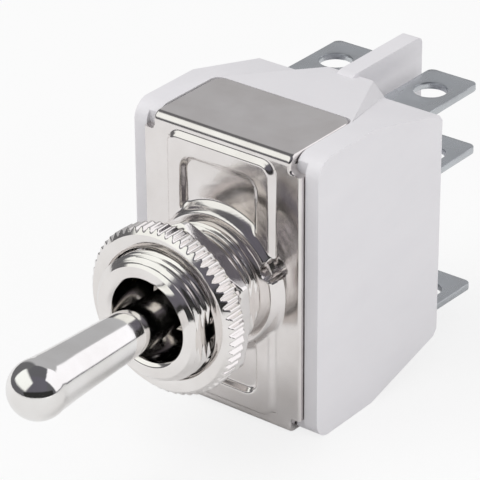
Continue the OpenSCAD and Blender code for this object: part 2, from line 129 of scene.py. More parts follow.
class SwitchSizes(bpy.types.PropertyGroup):
    """Sizes of the visible pieces."""

    sheet: length("Sheet", "Thickness of the frame's sheet", 1.0)
    bend: length("Bend", "Outer radius of the frame's bends", 0.9)
    flange_half: length("Flange half width", "Half width of the two flanges", 7.69)
    pad_half_x: length("Pad half width", "Half width of the raised pad, at mid wall", 5.85)
    pad_half_z: length("Pad half length", "Half length of the raised pad, at mid wall", 12.8)
    pad_rise: length("Pad rise", "Height of the raised pad", 0.5)
    boss_foot: length("Boss foot", "Radius of the round boss at its foot", 7.25)
    boss_top: length("Boss top", "Radius of the round boss at its top", 6.3)
    boss_rise: length("Boss rise", "Height of the round boss", 1.2)
    thread_pitch: length("Thread pitch", "Advance of the bushing's thread in one turn", 0.75)
    thread_depth: length("Thread depth", "Depth of the bushing's thread", 0.45)
    thread_radius: length("Thread radius", "Outer radius of the bushing's thread", 6.0)
    flat: length("Flat", "Distance of the bushing's flat from its axis", 5.5)
    mouth: length("Mouth", "Radius of the bushing's mouth", 3.99)
    hex_flats: length("Hexagon", "Width of the hexagon nut across its flats", 14.0)
    ring_teeth: bpy.props.IntProperty(
        name="Teeth", description="Number of teeth on the ring nut", default=58, min=12, max=120
    )
    tooth_depth: length("Tooth depth", "Depth of the ring nut's teeth", 0.4)
    case_edge: length("Case edge", "Radius on the moulded edges of the case", 0.16)


class SwitchColours(bpy.types.PropertyGroup):
    """Colours and finishes of the pieces."""

    case: colour("Case", "Moulded plastic of the case", (0.79, 0.775, 0.8))
    nickel: colour("Nickel", "Warm plated sheet of the frame", (0.86, 0.83, 0.82))
    bright_nickel: colour("Bright nickel", "Plated bushing and nuts", (0.9, 0.875, 0.86))
    chrome: colour("Chrome", "Plated lever", (0.92, 0.91, 0.9))
    lug: colour("Lug", "Tinned lugs", (0.62, 0.65, 0.68))
    brass: colour("Brass", "Plunger and retainer", (0.75, 0.55, 0.26))
    copper: colour("Copper", "Contact blades", (0.78, 0.42, 0.25))
    silver: colour("Silver", "Contact buttons", (0.86, 0.86, 0.88))
    steel: colour("Steel", "Pin and spring", (0.55, 0.55, 0.57))
    cover: colour("Cover", "Inner cover", (0.05, 0.05, 0.055))
    rocker: colour("Rocker", "Moulded rocker", (0.74, 0.67, 0.52))
    floor: colour("Floor", "Pale floor", (0.86, 0.86, 0.86))


class SwitchStage(bpy.types.PropertyGroup):
    """Camera and lights."""

    azimuth: bpy.props.FloatProperty(
        name="Azimuth", description="Camera's angle round the switch",
        default=math.radians(38.047), subtype="ANGLE",
    )
    elevation: bpy.props.FloatProperty(
        name="Elevation", description="Camera's angle above the horizon",
        default=math.radians(28.279), subtype="ANGLE",
    )
    roll: bpy.props.FloatProperty(
        name="Roll", description="Camera's turn about its own axis",
        default=math.radians(-0.399), subtype="ANGLE",
    )
    distance: length("Distance", "Camera's distance from the middle of the frame", 260.722)
    slide_x: length("Slide across", "Camera's offset to its right", 1.623)
    slide_y: length("Slide up", "Camera's offset upwards", 3.092)
    lens: bpy.props.FloatProperty(
        name="Lens", description="Focal length on a 36 mm sensor",
        default=218.05, min=20.0, unit="CAMERA",
    )
    key: share("Key light", "Power of the large lamp above", 0.6, 50.0)
    fill: share("Fill light", "Power of the lamp on the right", 0.25, 50.0)
    ambient: share("Ambient", "Strength of the world on matt surfaces", 0.62, 5.0)


def sizes(scene):
    """The sizes as a plain dict in millimetres."""
    group = scene.switch_sizes
    names = SwitchSizes.__annotations__
    return {n: getattr(group, n) / (1 if n == "ring_teeth" else MM) for n in names}


# ---------------------------------------------------------------- shape helpers


def step(t):
    """Smooth step: 0 below 0, 1 above 1, with level ends (fifth-degree curve)."""
    t = np.clip(t, 0.0, 1.0)
    return t * t * t * (t * (6.0 * t - 15.0) + 10.0)


def soft_max(a, b, k):
    """The larger of two heights, with their crossing rounded over a band k."""
    h = np.clip(0.5 + 0.5 * (a - b) / k, 0.0, 1.0)
    return b + (a - b) * h + k * h * (1.0 - h)


def soft_min(a, b, k):
    """The smaller of two values, with their crossing rounded over a band k."""
    return -soft_max(-a, -b, k)


def ramp(t, k=0.4):
    """Straight ramp from 0 to 1, with its two corners rounded over a band k."""
    return soft_min(soft_max(t, 0.0 * t, k), 1.0 + 0.0 * t, k)


def round_box(x, z, half_x, half_z, r):
    """Signed distance to a rounded rectangle round the origin, negative inside."""
    qx = np.abs(x) - half_x + r
    qz = np.abs(z) - half_z + r
    outside = np.hypot(np.maximum(qx, 0.0), np.maximum(qz, 0.0))
    return outside + np.minimum(np.maximum(qx, qz), 0.0) - r


def lines(*parts):
    """Joins runs of evenly spaced stations, each given as (start, end, steps)."""
    runs = [np.linspace(a, b, n, endpoint=False) for a, b, n in parts]
    return np.concatenate(runs + [[parts[-1][1]]])


def grid_faces(rows, cols, wrap_rows, wrap_cols):
    """Quads between neighbouring points of a grid, closed in the directions that wrap."""
    r = np.arange(rows if wrap_rows else rows - 1)
    c = np.arange(cols if wrap_cols else cols - 1)
    r, c = np.meshgrid(r, c, indexing="ij")
    r1, c1 = (r + 1) % rows, (c + 1) % cols
    quads = np.stack([r * cols + c, r * cols + c1, r1 * cols + c1, r1 * cols + c], axis=-1)
    return quads.reshape(-1, 4)


def write_mesh(name, points, faces, sharp=32.0):
    """Makes an object from points in millimetres and lists of corners, facing outwards.

    Edges that turn more than sharp degrees stay crisp, and all others are shaded smooth.
    """
    mesh = bpy.data.meshes.new(name)
    metres = (np.asarray(points).reshape(-1, 3) * MM).tolist()
    mesh.from_pydata(metres, [], [list(map(int, f)) for f in faces])
    bm = bmesh.new()
    bm.from_mesh(mesh)
    bmesh.ops.remove_doubles(bm, verts=bm.verts, dist=1e-7)
    bmesh.ops.recalc_face_normals(bm, faces=bm.faces)
    shade(bm, sharp)
    bm.to_mesh(mesh)
    bm.free()
    obj = bpy.data.objects.new(name, mesh)
    bpy.context.scene.collection.objects.link(obj)
    return obj


def shade(bm, sharp):
    """Smooth faces, with crisp edges where they turn more than sharp degrees."""
    limit = math.radians(sharp)
    for face in bm.faces:
        face.smooth = True
    for edge in bm.edges:
        edge.smooth = not (len(edge.link_faces) == 2 and edge.calc_face_angle(0.0) > limit)


def ring_surface(name, radius, y, turns, sharp=32.0, pole_start=False, pole_end=False):
    """A surface round the bushing's axis: point = (r cos a, y, r sin a).

    radius is a grid of r for each station of y and each angle a. The stations close into a ring of
    sections, unless the first and last are poles on the axis.
    """
    a = turns[None, :]
    r = np.broadcast_to(radius, (len(y), len(turns)))
    yy = np.broadcast_to(y[:, None] if y.ndim == 1 else y, r.shape)
    points = np.stack([r * np.cos(a), yy, r * np.sin(a)], axis=-1)
    rows, cols = r.shape
    closed = not (pole_start or pole_end)
    faces = grid_faces(rows, cols, closed, True).tolist()
    flat = points.reshape(-1, 3)
    extra = []
    for use, row in ((pole_start, 0), (pole_end, rows - 1)):
        if use:
            extra.append([0.0, yy[row, 0], 0.0])
            tip = len(flat) + len(extra) - 1
            ring = row * cols + np.arange(cols)
            faces += [[tip, int(p), int(q)] for p, q in zip(ring, np.roll(ring, -1))]
    if extra:
        flat = np.concatenate([flat, np.array(extra)])
    return write_mesh(name, flat, faces, sharp)


def copy_of(node, name, edge, segments=3, angle=25.0):
    """A merged copy of a CAD node with its edges rounded to the radius edge."""
    source = NODES[node]
    bm = bmesh.new()
    bm.from_mesh(source.data)
    bmesh.ops.remove_doubles(bm, verts=bm.verts, dist=2e-6)
    bmesh.ops.dissolve_limit(bm, angle_limit=math.radians(1.0), verts=bm.verts, edges=bm.edges)
    mesh = bpy.data.meshes.new(name)
    shade(bm, angle)
    bm.to_mesh(mesh)
    bm.free()
    obj = bpy.data.objects.new(name, mesh)
    bpy.context.scene.collection.objects.link(obj)
    bevel = obj.modifiers.new("Edge", "BEVEL")
    bevel.width = edge * MM
    bevel.segments = segments
    bevel.limit_method = "ANGLE"
    bevel.angle_limit = math.radians(angle)
    bevel.use_clamp_overlap = True
    bevel.harden_normals = True
    return obj


def place(obj, node, material):
    """Hands a piece to its CAD body, stands it in for its node and gives it its finish."""
    names = [node] if isinstance(node, str) else list(node)
    bodies = frame["record"]["behaviour"]["bodies"]
    body = next(b for b, members in bodies.items() if names[0] in members)
    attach(obj, body)
    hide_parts(*names)
    obj.data.materials.clear()
    obj.data.materials.append(material)


# ---------------------------------------------------------------- finishes


def new_material(name):
    """An empty node material with its shader: returns the material, its tree and the shader."""
    material = bpy.data.materials.new(name)
    material.use_nodes = True
    tree = material.node_tree
    return material, tree, tree.nodes["Principled BSDF"]


def object_noise(tree, scale, detail=4.0, roughness=0.55, stretch=(1, 1, 1)):
    """Noise on object coordinates, stretched along the axes as given."""
    where = tree.nodes.new("ShaderNodeTexCoord")
    mapping = tree.nodes.new("ShaderNodeMapping")
    mapping.inputs["Scale"].default_value = stretch
    noise = tree.nodes.new("ShaderNodeTexNoise")
    noise.inputs["Scale"].default_value = scale
    noise.inputs["Detail"].default_value = detail
    noise.inputs["Roughness"].default_value = roughness
    tree.links.new(where.outputs["Object"], mapping.inputs["Vector"])
    tree.links.new(mapping.outputs["Vector"], noise.inputs["Vector"])
    return noise.outputs["Fac"]


def spread(tree, value, low, high):
    """Maps a 0 to 1 value to the range low to high."""
    node = tree.nodes.new("ShaderNodeMapRange")
    node.inputs["To Min"].default_value = low
    node.inputs["To Max"].default_value = high
    node.inputs["From Min"].default_value = 0.3
    node.inputs["From Max"].default_value = 0.7
    tree.links.new(value, node.inputs["Value"])
    return node.outputs["Result"]


def tinted(tree, value, base, dark):
    """A colour that runs from base times dark up to base with a 0 to 1 value."""
    mix = tree.nodes.new("ShaderNodeMix")
    mix.data_type = "RGBA"
    mix.inputs["A"].default_value = tuple(c * d for c, d in zip(base, dark)) + (1.0,)
    mix.inputs["B"].default_value = tuple(base) + (1.0,)
    tree.links.new(spread(tree, value, 0.0, 1.0), mix.inputs["Factor"])
    return mix.outputs["Result"]


def bump(tree, shader, value, distance, strength=1.0, under=None):
    """Raises the surface by a 0 to 1 value times distance, in metres."""
    node = tree.nodes.new("ShaderNodeBump")
    node.inputs["Strength"].default_value = strength
    node.inputs["Distance"].default_value = distance
    tree.links.new(value, node.inputs["Height"])
    if under is not None:
        tree.links.new(under, node.inputs["Normal"])
    tree.links.new(node.outputs["Normal"], shader.inputs["Normal"])
    return node.outputs["Normal"]


def plated(name, base, rough=(0.08, 0.18), wave=2.0e-5, stretch=(1, 1, 1)):
    """Plated metal: soft waves of the polished base metal, fine grain and clouded gloss."""
    dark, grain = (0.9, 0.89, 0.88), 3.0e-6
    material, tree, shader = new_material(name)
    shader.inputs["Metallic"].default_value = 1.0
    cloud = object_noise(tree, 260.0, 3.0, 0.5)
    tree.links.new(tinted(tree, cloud, base, dark), shader.inputs["Base Color"])
    gloss = object_noise(tree, 900.0, 5.0, 0.6, stretch)
    tree.links.new(spread(tree, gloss, *rough), shader.inputs["Roughness"])
    first = bump(tree, shader, object_noise(tree, 220.0, 2.0, 0.4), wave)
    bump(tree, shader, object_noise(tree, 4200.0, 3.0, 0.6, stretch), grain, under=first)
    return material


def moulded(name, base, rough=(0.3, 0.42)):
    """Moulded plastic: faint flow clouds, fine grain and uneven gloss."""
    dark, grain = (0.965, 0.965, 0.97), 4.0e-6
    material, tree, shader = new_material(name)
    shader.inputs["IOR"].default_value = 1.5
    cloud = object_noise(tree, 120.0, 5.0, 0.6, (1.0, 1.0, 2.2))
    tree.links.new(tinted(tree, cloud, base, dark), shader.inputs["Base Color"])
    gloss = object_noise(tree, 600.0, 4.0, 0.6)
    tree.links.new(spread(tree, gloss, *rough), shader.inputs["Roughness"])
    first = bump(tree, shader, object_noise(tree, 180.0, 2.0, 0.5), 1.2e-5)
    bump(tree, shader, object_noise(tree, 5000.0, 4.0, 0.65), grain, under=first)
    return material


MATERIALS = {}


def make_materials(scene):
    """All finishes, once, by name."""
    if MATERIALS:
        return MATERIALS
    c = scene.switch_colours
    MATERIALS.update(
        case=moulded("case_moulding", c.case),
        nickel=plated("nickel_sheet", c.nickel, rough=(0.1, 0.17), wave=1.4e-5, stretch=(1, 1, 0.35)),
        bright=plated("bright_nickel", c.bright_nickel, rough=(0.07, 0.13), wave=5.0e-6),
        chrome=plated("chrome_lever", c.chrome, rough=(0.04, 0.09), wave=3.0e-6, stretch=(1, 0.15, 1)),
        lug=plated("tinned_lug", c.lug, rough=(0.22, 0.36), wave=1.5e-5, stretch=(1, 0.3, 1)),
        brass=plated("turned_brass", c.brass, rough=(0.2, 0.32)),
        copper=plated("copper_blade", c.copper, rough=(0.22, 0.34), stretch=(1, 1, 0.3)),
        silver=plated("silver_contact", c.silver, rough=(0.15, 0.3)),
        steel=plated("spring_steel", c.steel, rough=(0.18, 0.3)),
        cover=moulded("cover_moulding", c.cover, rough=(0.4, 0.55)),
        rocker=moulded("rocker_moulding", c.rocker, rough=(0.35, 0.5)),
    )
    return MATERIALS


# ---------------------------------------------------------------- pieces


def pressed_height(x, z, s):
    """Height of the frame's pressed front over its plate, at (x, z).

    A raised pad with leaning sides, less two windows whose inner ends follow the boss, and a round
    boss joined to them with a soft crossing. Every wall is a smooth step of a distance.
    """
    pad = s["pad_rise"] * step(0.5 - round_box(x, z, s["pad_half_x"], s["pad_half_z"], 1.3) / 0.85)
    r = np.hypot(x, z)
    window = soft_max(round_box(x, z, *WINDOW_HALF, 1.25), 7.05 - r, 0.5)
    pad = pad * step(0.5 + window / 0.75)
    wall = s["boss_foot"] - s["boss_top"]
    boss = s["boss_rise"] * step((s["boss_foot"] - r) / wall)
    return soft_max(pad, boss, 0.12) - 0.03


def frame_shell(s):
    """The pressed frame: a profile down one flange, over the plate and along the other flange,
    swept across its width, with the pressed height added along its normal and its thickness
    behind. The half width at each station narrows at the corner reliefs and round the flange ends.
    """
    bend, sheet = s["bend"], s["sheet"]
    half_z, back = FRAME_HIGH[2], FRAME_HIGH[1]
    plate_half, flange_half = FRAME_HIGH[0] - 0.04, s["flange_half"] - 0.06
    straight = half_z - bend
    relief, relief_r = RELIEF_Z, RELIEF_R
    # one half of the profile from the middle of the plate up, as (y, z, normal y, normal z, half width)
    flat_z = np.concatenate([
        lines((0.0, relief, 98)),
        relief + relief_r * (1 - np.cos(np.linspace(0.02, 1, 9) * math.pi / 2)),
    ])
    width = np.where(flat_z <= relief + 1e-9, plate_half, 0.0)
    into = np.clip((relief + relief_r - flat_z) / relief_r, 0, 1)
    round_in = flange_half + relief_r - relief_r * np.sqrt(np.clip(1 - into**2, 0, 1))
    width = np.where(width > 0, width, round_in)
    plate = np.stack([0 * flat_z, flat_z, 0 * flat_z - 1, 0 * flat_z, width], axis=1)
    more = lines((relief + relief_r, straight, 3))[1:]
    upper = np.stack([0 * more, more, 0 * more - 1, 0 * more, 0 * more + flange_half], axis=1)
    t = np.linspace(0, 1, 13)[1:] * math.pi / 2
    arc = np.stack([
        bend - bend * np.cos(t), straight + bend * np.sin(t), -np.cos(t), np.sin(t), 0 * t + flange_half,
    ], axis=1)
    run = lines((bend, back - 1.0, 14))[1:]
    tip = back - 1.0 + np.sin(np.linspace(0, 1, 9)[1:] * math.pi / 2)
    corner = flange_half - 1.0 + np.sqrt(np.clip(1 - (tip - back + 1.0) ** 2, 0, 1))
    flange_y = np.concatenate([run, tip])
    flange_w = np.concatenate([0 * run + flange_half, corner])
    flange = np.stack([flange_y, 0 * flange_y + half_z, 0 * flange_y, 0 * flange_y + 1, flange_w], axis=1)
    upper_half = np.concatenate([plate, upper, arc, flange])
    lower_half = upper_half[:0:-1] * np.array([1, -1, 1, -1, 1])
    path = np.concatenate([lower_half, upper_half])
    # stations across, as shares of the half width, denser towards the edges
    inner = lines((0.0, 7.6, 62)) / 8.8
    round_off = 8.8 - EASE * (1 - np.sin(np.linspace(0.1, 1, 8) * math.pi / 2))
    outer = np.concatenate([lines((7.6, 8.5, 6))[1:], round_off]) / 8.8
    across = np.concatenate([inner, outer])
    across = np.concatenate([-across[:0:-1], across])
    y0, z0, ny, nz, w = (path[:, k][:, None] for k in range(5))
    x = w * across[None, :]
    on_plate = np.clip(-ny, 0, 1)
    rise = pressed_height(x, z0, s) * (on_plate > 0.999)
    hole = np.hypot(x - PIERCED_AT[0], z0 - PIERCED_AT[1])
    rise = rise - (rise + 0.85) * step((1.0 - hole) / 0.16) * (on_plate > 0.999)
    edge = np.clip(EASE - (w - np.abs(x)), 0, EASE)
    ease = EASE - np.sqrt(np.clip(EASE**2 - edge**2, 0, 1))
    front = np.stack([x, y0 + ny * (rise - ease), z0 + nz * (rise - ease)], axis=-1)
    by = np.where(on_plate > 0.999, y0 + sheet, np.maximum(y0 - ny * sheet, sheet))
    bz = np.where(on_plate > 0.999, np.clip(z0, -half_z + sheet, half_z - sheet), z0 - nz * sheet)
    bz = np.clip(bz, -half_z + sheet, half_z - sheet)
    back_side = np.stack([x, by - rise * on_plate - ny * ease, bz + 0 * x - nz * ease], axis=-1)
    rows, cols = x.shape
    points = np.concatenate([front, back_side[:, ::-1]], axis=1)
    faces = grid_faces(rows, 2 * cols, False, True).tolist()
    for row in (0, rows - 1):
        a = row * 2 * cols + np.arange(cols - 1)
        b = row * 2 * cols + 2 * cols - 1 - np.arange(cols - 1)
        faces += np.stack([a, a + 1, b - 1, b], axis=1).tolist()
    return write_mesh("frame_plate", points, faces, 50.0)


def thread_radius(y, turn, s, start, end):
    """Radius of a right-hand thread round -Y: a V groove whose place moves one pitch a turn,
    with narrow crests and rounded roots, running out into the core at its ends."""
    pitch, depth = s["thread_pitch"], s["thread_depth"]
    phase = (-y[:, None] / pitch - turn[None, :] / TAU - 0.38) % 1.0
    ridge = ramp((np.abs(2 * phase - 1) - 0.12) / 0.76, 0.22)
    fade = step((y - start) / 0.4) * step((end - y) / 0.4)
    return s["thread_radius"] - depth + depth * ridge * fade[:, None]


def bushing_shell(s):
    """The bushing: a section that runs forward over the thread, round the mouth and back along the
    bore, turned round the axis. The thread is cut by the flat and by the lead cone in front, and the
    bore is widened by the two slots of the pivot pin."""
    turns = np.linspace(0, TAU, 240, endpoint=False)
    front, back = BUSH_LOW[1], BUSH_HIGH[1]
    rise, core = s["boss_rise"], s["thread_radius"] - s["thread_depth"]
    neck, shoulder = 5.4, 6.1
    thread_y = np.concatenate([
        lines((-rise - 0.5, -5.3, 80)), lines((-5.4, -8.5, 8)), lines((-8.6, front, 48)),
    ])
    outer = thread_radius(thread_y, turns, s, front - 1.0, -rise - 0.55)
    hidden = (thread_y < -5.35) & (thread_y > -8.55)
    outer[hidden] = core - 0.02
    lead = 5.3 + (thread_y - front)
    outer = soft_min(outer, lead[:, None], 0.06)
    cut = s["flat"] / np.maximum(np.cos(turns), 0.2)[None, :]
    outer = np.minimum(outer, np.where(np.cos(turns)[None, :] > 0.2, cut, 99.0))
    flat = np.ones_like(turns)[None, :]
    rear_y = np.array([back, back - 0.06, -0.2 + 0.06, -0.2, -0.25, -rise, -rise - 0.35])
    rear_r = np.array([shoulder - 0.14, shoulder - 0.02, shoulder, shoulder - 0.1, neck, neck, neck + 0.02])
    rim_y = np.array([front, front, front + 0.02, front + 0.1, front + 0.3, front + 0.36])
    rim_r = np.array([4.95, 4.45, 4.32, 4.22, 4.03, s["mouth"]])
    bore_y = lines((front + 0.6, -5.2, 12), (-5.2, -3.0, 18), (-3.0, back, 12))
    bore = s["mouth"] * flat * np.ones((len(bore_y), 1))
    z = 4.4 * np.sin(turns)[None, :]
    along = np.minimum(bore_y[:, None] - PIVOT_Y, 0.0)
    slot = np.hypot(z, along) - 0.86
    bore = bore + (5.08 - s["mouth"]) * step(-slot / 0.08)
    y = np.concatenate([rear_y, thread_y, rim_y, bore_y])
    radius = np.concatenate([rear_r[:, None] * flat, outer, rim_r[:, None] * flat, bore])
    return ring_surface("bushing_thread", radius, y, turns, 40.0)


def nut_section(y0, y1, bore, chamfer):
    """Stations and radii of a nut's bore and its two chamfers, from the back face forward."""
    y = np.array([
        y0, y0 + 0.02, y0 + chamfer, y0 + chamfer + 0.15,
        y1 - chamfer - 0.15, y1 - chamfer, y1 - 0.02, y1,
    ])
    r = np.array([bore + chamfer + 0.05, bore + chamfer, bore + 0.03, bore])
    r = np.concatenate([r, r[::-1]])
    return y, r


def hex_nut_shell(s):
    """The hexagon nut: across the angle its radius is flats / 2 over the cosine within each sixth,
    and at each station the smaller of that and the chamfer cone."""
    y0, y1 = HEX_LOW[1], HEX_HIGH[1]
    half = s["hex_flats"] / 2
    first_flat = math.radians(-4.0)
    turns = first_flat + math.radians(30) + np.linspace(0, TAU, 360, endpoint=False)
    sector = (turns - first_flat + math.pi / 6) % (math.pi / 3) - math.pi / 6
    hexagon = soft_min(half / np.cos(sector), half / math.cos(math.pi / 6) * 0.992, 0.12)
    rim = lines((0.0, 0.55, 14), (0.55, y1 - y0 - 0.55, 4), (y1 - y0 - 0.55, y1 - y0, 14))
    near = np.minimum(rim, y1 - y0 - rim)
    cone = half + 0.1 + near * 1.75
    outer = soft_min(hexagon[None, :], cone[:, None], 0.05)
    yb, rb = nut_section(y0, y1, NUT_BORE, 0.35)
    one = np.ones_like(turns)[None, :]
    y = np.concatenate([y0 + rim, yb[::-1]])
    radius = np.concatenate([outer, rb[::-1][:, None] * one])
    return ring_surface("hex_nut_body", radius, y, turns, 28.0)


def ring_nut_shell(s):
    """The knurled ring nut: straight teeth as a rounded V in the angle, cut at each station by the
    chamfer cones of its two faces."""
    y0, y1 = RING_LOW[1], RING_HIGH[1]
    teeth = int(s["ring_teeth"])
    top = RING_TOP
    turns = np.linspace(0, TAU, teeth * 12, endpoint=False)
    phase = (turns * teeth / TAU) % 1.0
    groove = s["tooth_depth"] * ramp(1.3 - np.abs(phase - 0.5) * 3.4, 0.3)
    rim = lines((0.0, 0.75, 14), (0.75, y1 - y0 - 0.35, 6), (y1 - y0 - 0.35, y1 - y0, 8))
    front_cone = 7.5 + 1.0 * rim
    back_cone = 7.75 + 1.4 * (y1 - y0 - rim)
    outer = np.minimum(top, soft_min(front_cone, back_cone, 0.05))
    outer = soft_min(outer[:, None] + 0 * groove[None, :], (top - groove)[None, :], 0.05)
    yb, rb = nut_section(y0, y1, NUT_BORE, 0.3)
    one = np.ones_like(turns)[None, :]
    y = np.concatenate([y0 + rim, yb[::-1]])
    radius = np.concatenate([outer, rb[::-1][:, None] * one])
    return ring_surface("ring_nut_body", radius, y, turns, 40.0)


def lever_shell():
    """The lever: a bat turned round its axis. A round tip runs into a taper that follows a smooth
    curve through its known radii, then a ball, and a tail with the plunger's bore in its end."""
    tip_y, tip_r = -24.9, 2.72
    tip_a = np.linspace(0, 1, 30)[1:] * math.radians(98)
    tip = np.stack([tip_y - tip_r * np.cos(tip_a), tip_r * np.sin(tip_a)], axis=1)
    know_y = np.array([-24.0, -23.0, -22.0, -20.0, -18.0, -16.0, -13.0, -10.0, -7.0])
    know_r = np.array([2.63, 2.545, 2.48, 2.395, 2.32, 2.245, 2.13, 2.015, 1.9])
    shaft_y = lines((-24.2, -7.3, 60))
    shaft_r = np.interp(shaft_y, know_y, know_r)
    for _ in range(6):
        shaft_r[1:-1] = 0.25 * shaft_r[:-2] + 0.5 * shaft_r[1:-1] + 0.25 * shaft_r[2:]
    shaft = np.stack([shaft_y, shaft_r], axis=1)
    ball_a = np.linspace(math.radians(32), math.radians(112), 24)
    ball = np.stack([PIVOT_Y - BALL_R * np.cos(ball_a), BALL_R * np.sin(ball_a)], axis=1)
    ball = ball[ball[:, 0] < -2.62]
    end = LEVER_HIGH[1]
    rest = np.array([
        [-2.6, 3.4], [-2.58, 3.3], [-2.55, 2.0], [-2.3, 1.9], [end - 0.2, 1.9], [end, 1.7], [end, 1.2],
        [end - 0.15, 1.05], [-1.8, 1.05], [-1.75, 0.9],
    ])
    profile = np.concatenate([tip, shaft, ball, rest])
    turns = np.linspace(0, TAU, 112, endpoint=False)
    return ring_surface(
        "lever_bat", profile[:, 1][:, None] * np.ones((1, len(turns))), profile[:, 0], turns, 40.0,
        pole_start=True, pole_end=True,
    )


def lug_points(centre_x, z, low_y, high_y, half, hole_y, hole_r, thick, corner):
    """A flat lug with a hole: rays from the hole's middle to a rounded rectangle. Each ray's section
    runs up the hole's wall, out over the top, down the edge and back below, with eased edges."""
    rays = np.linspace(0, TAU, 168, endpoint=False)
    dx, dy = np.cos(rays), np.sin(rays)
    mid_y, half_y = (low_y + high_y) / 2, (high_y - low_y) / 2
    reach = np.full_like(rays, hole_r)
    for _ in range(60):
        gap = round_box(dx * reach, hole_y + dy * reach - mid_y, half, half_y, corner)
        reach = reach - gap * 0.9
    e, h = 0.09, thick / 2
    steps = np.array([
        [0.0, -h + e, 0], [0.0, h - e, 0], [0.03, h - 0.03, 0], [e, h, 0], [0.3, h, 1], [0.6, h, 1],
        [1.0, h, -e], [1.0, h - 0.03, -0.03], [1.0, h - e, 0], [1.0, -h + e, 0], [1.0, -h + 0.03, -0.03],
        [1.0, -h, -e], [0.6, -h, 1], [0.3, -h, 1], [e, -h, 0], [0.03, -h + 0.03, 0],
    ])
    share_out = np.where(steps[:, 2] == 1, steps[:, 0], np.where(steps[:, 0] == 1.0, 1.0, 0.0))
    shift = np.where(steps[:, 2] == 1, 0.0, np.where(steps[:, 0] == 1.0, steps[:, 2], steps[:, 0]))
    r = hole_r + share_out[None, :] * (reach - hole_r)[:, None] + shift[None, :]
    x = centre_x + dx[:, None] * r
    y = hole_y + dy[:, None] * r
    zz = z + steps[:, 1][None, :] + 0 * r
    return np.stack([x, y, zz], axis=-1)


def bar_points(outline, x0, x1, ease=0.08):
    """A bar with a (y, z) outline along X: four sections, the end ones drawn in by ease."""
    outline = np.asarray(outline, float)
    middle = outline.mean(axis=0)
    small = middle + (outline - middle) * (1 - ease / np.abs(outline - middle).max())
    rows = [(x0, small), (x0 + ease, outline), (x1 - ease, outline), (x1, small)]
    return np.stack([np.concatenate([np.full((len(o), 1), x), o], axis=1) for x, o in rows])


def join_grids(name, ring_grids, bars, sharp=32.0):
    """One mesh from closed ring grids and capped bars."""
    points, faces, count = [], [], 0
    for g in ring_grids:
        rows, cols = g.shape[:2]
        faces += (grid_faces(rows, cols, True, True) + count).tolist()
        points.append(g.reshape(-1, 3))
        count += rows * cols
    for g in bars:
        rows, cols = g.shape[:2]
        faces += (grid_faces(rows, cols, False, True) + count).tolist()
        last = count + (rows - 1) * cols
        faces += [list(range(count, count + cols)), list(range(last, last + cols))]
        points.append(g.reshape(-1, 3))
        count += rows * cols
    return write_mesh(name, np.concatenate(points), faces, sharp)


# ---------------------------------------------------------------- operators


class SWITCH_OT_case(bpy.types.Operator):
    """Build the moulded case with its eased edges"""

    bl_idname = "switch.case"
    bl_label = "Case"
    bl_options = {"REGISTER", "UNDO"}

    def execute(self, context):
        s = sizes(context.scene)
        obj = copy_of("case", "case_shell", s["case_edge"])
        place(obj, "case", make_materials(context.scene)["case"])
        return {"FINISHED"}


class SWITCH_OT_frame(bpy.types.Operator):
    """Build the pressed metal frame with its pad, windows and boss"""

    bl_idname = "switch.frame"
    bl_label = "Frame"
    bl_options = {"REGISTER", "UNDO"}

    def execute(self, context):
        obj = frame_shell(sizes(context.scene))
        place(obj, "frame", make_materials(context.scene)["nickel"])
        return {"FINISHED"}


class SWITCH_OT_bushing(bpy.types.Operator):
    """Build the threaded bushing"""

    bl_idname = "switch.bushing"
    bl_label = "Bushing"
    bl_options = {"REGISTER", "UNDO"}

    def execute(self, context):
        obj = bushing_shell(sizes(context.scene))
        place(obj, "bushing", make_materials(context.scene)["bright"])
        return {"FINISHED"}


class SWITCH_OT_nuts(bpy.types.Operator):
    """Build the hexagon nut and the knurled ring nut"""

    bl_idname = "switch.nuts"
    bl_label = "Nuts"
    bl_options = {"REGISTER", "UNDO"}

    def execute(self, context):
        s = sizes(context.scene)
        metal = make_materials(context.scene)["bright"]
        place(hex_nut_shell(s), "hex_nut", metal)
        place(ring_nut_shell(s), "ring_nut", metal)
        return {"FINISHED"}


class SWITCH_OT_lever(bpy.types.Operator):
    """Build the bat lever"""

    bl_idname = "switch.lever"
    bl_label = "Lever"
    bl_options = {"REGISTER", "UNDO"}

    def execute(self, context):
        place(lever_shell(), "lever", make_materials(context.scene)["chrome"])
        return {"FINISHED"}


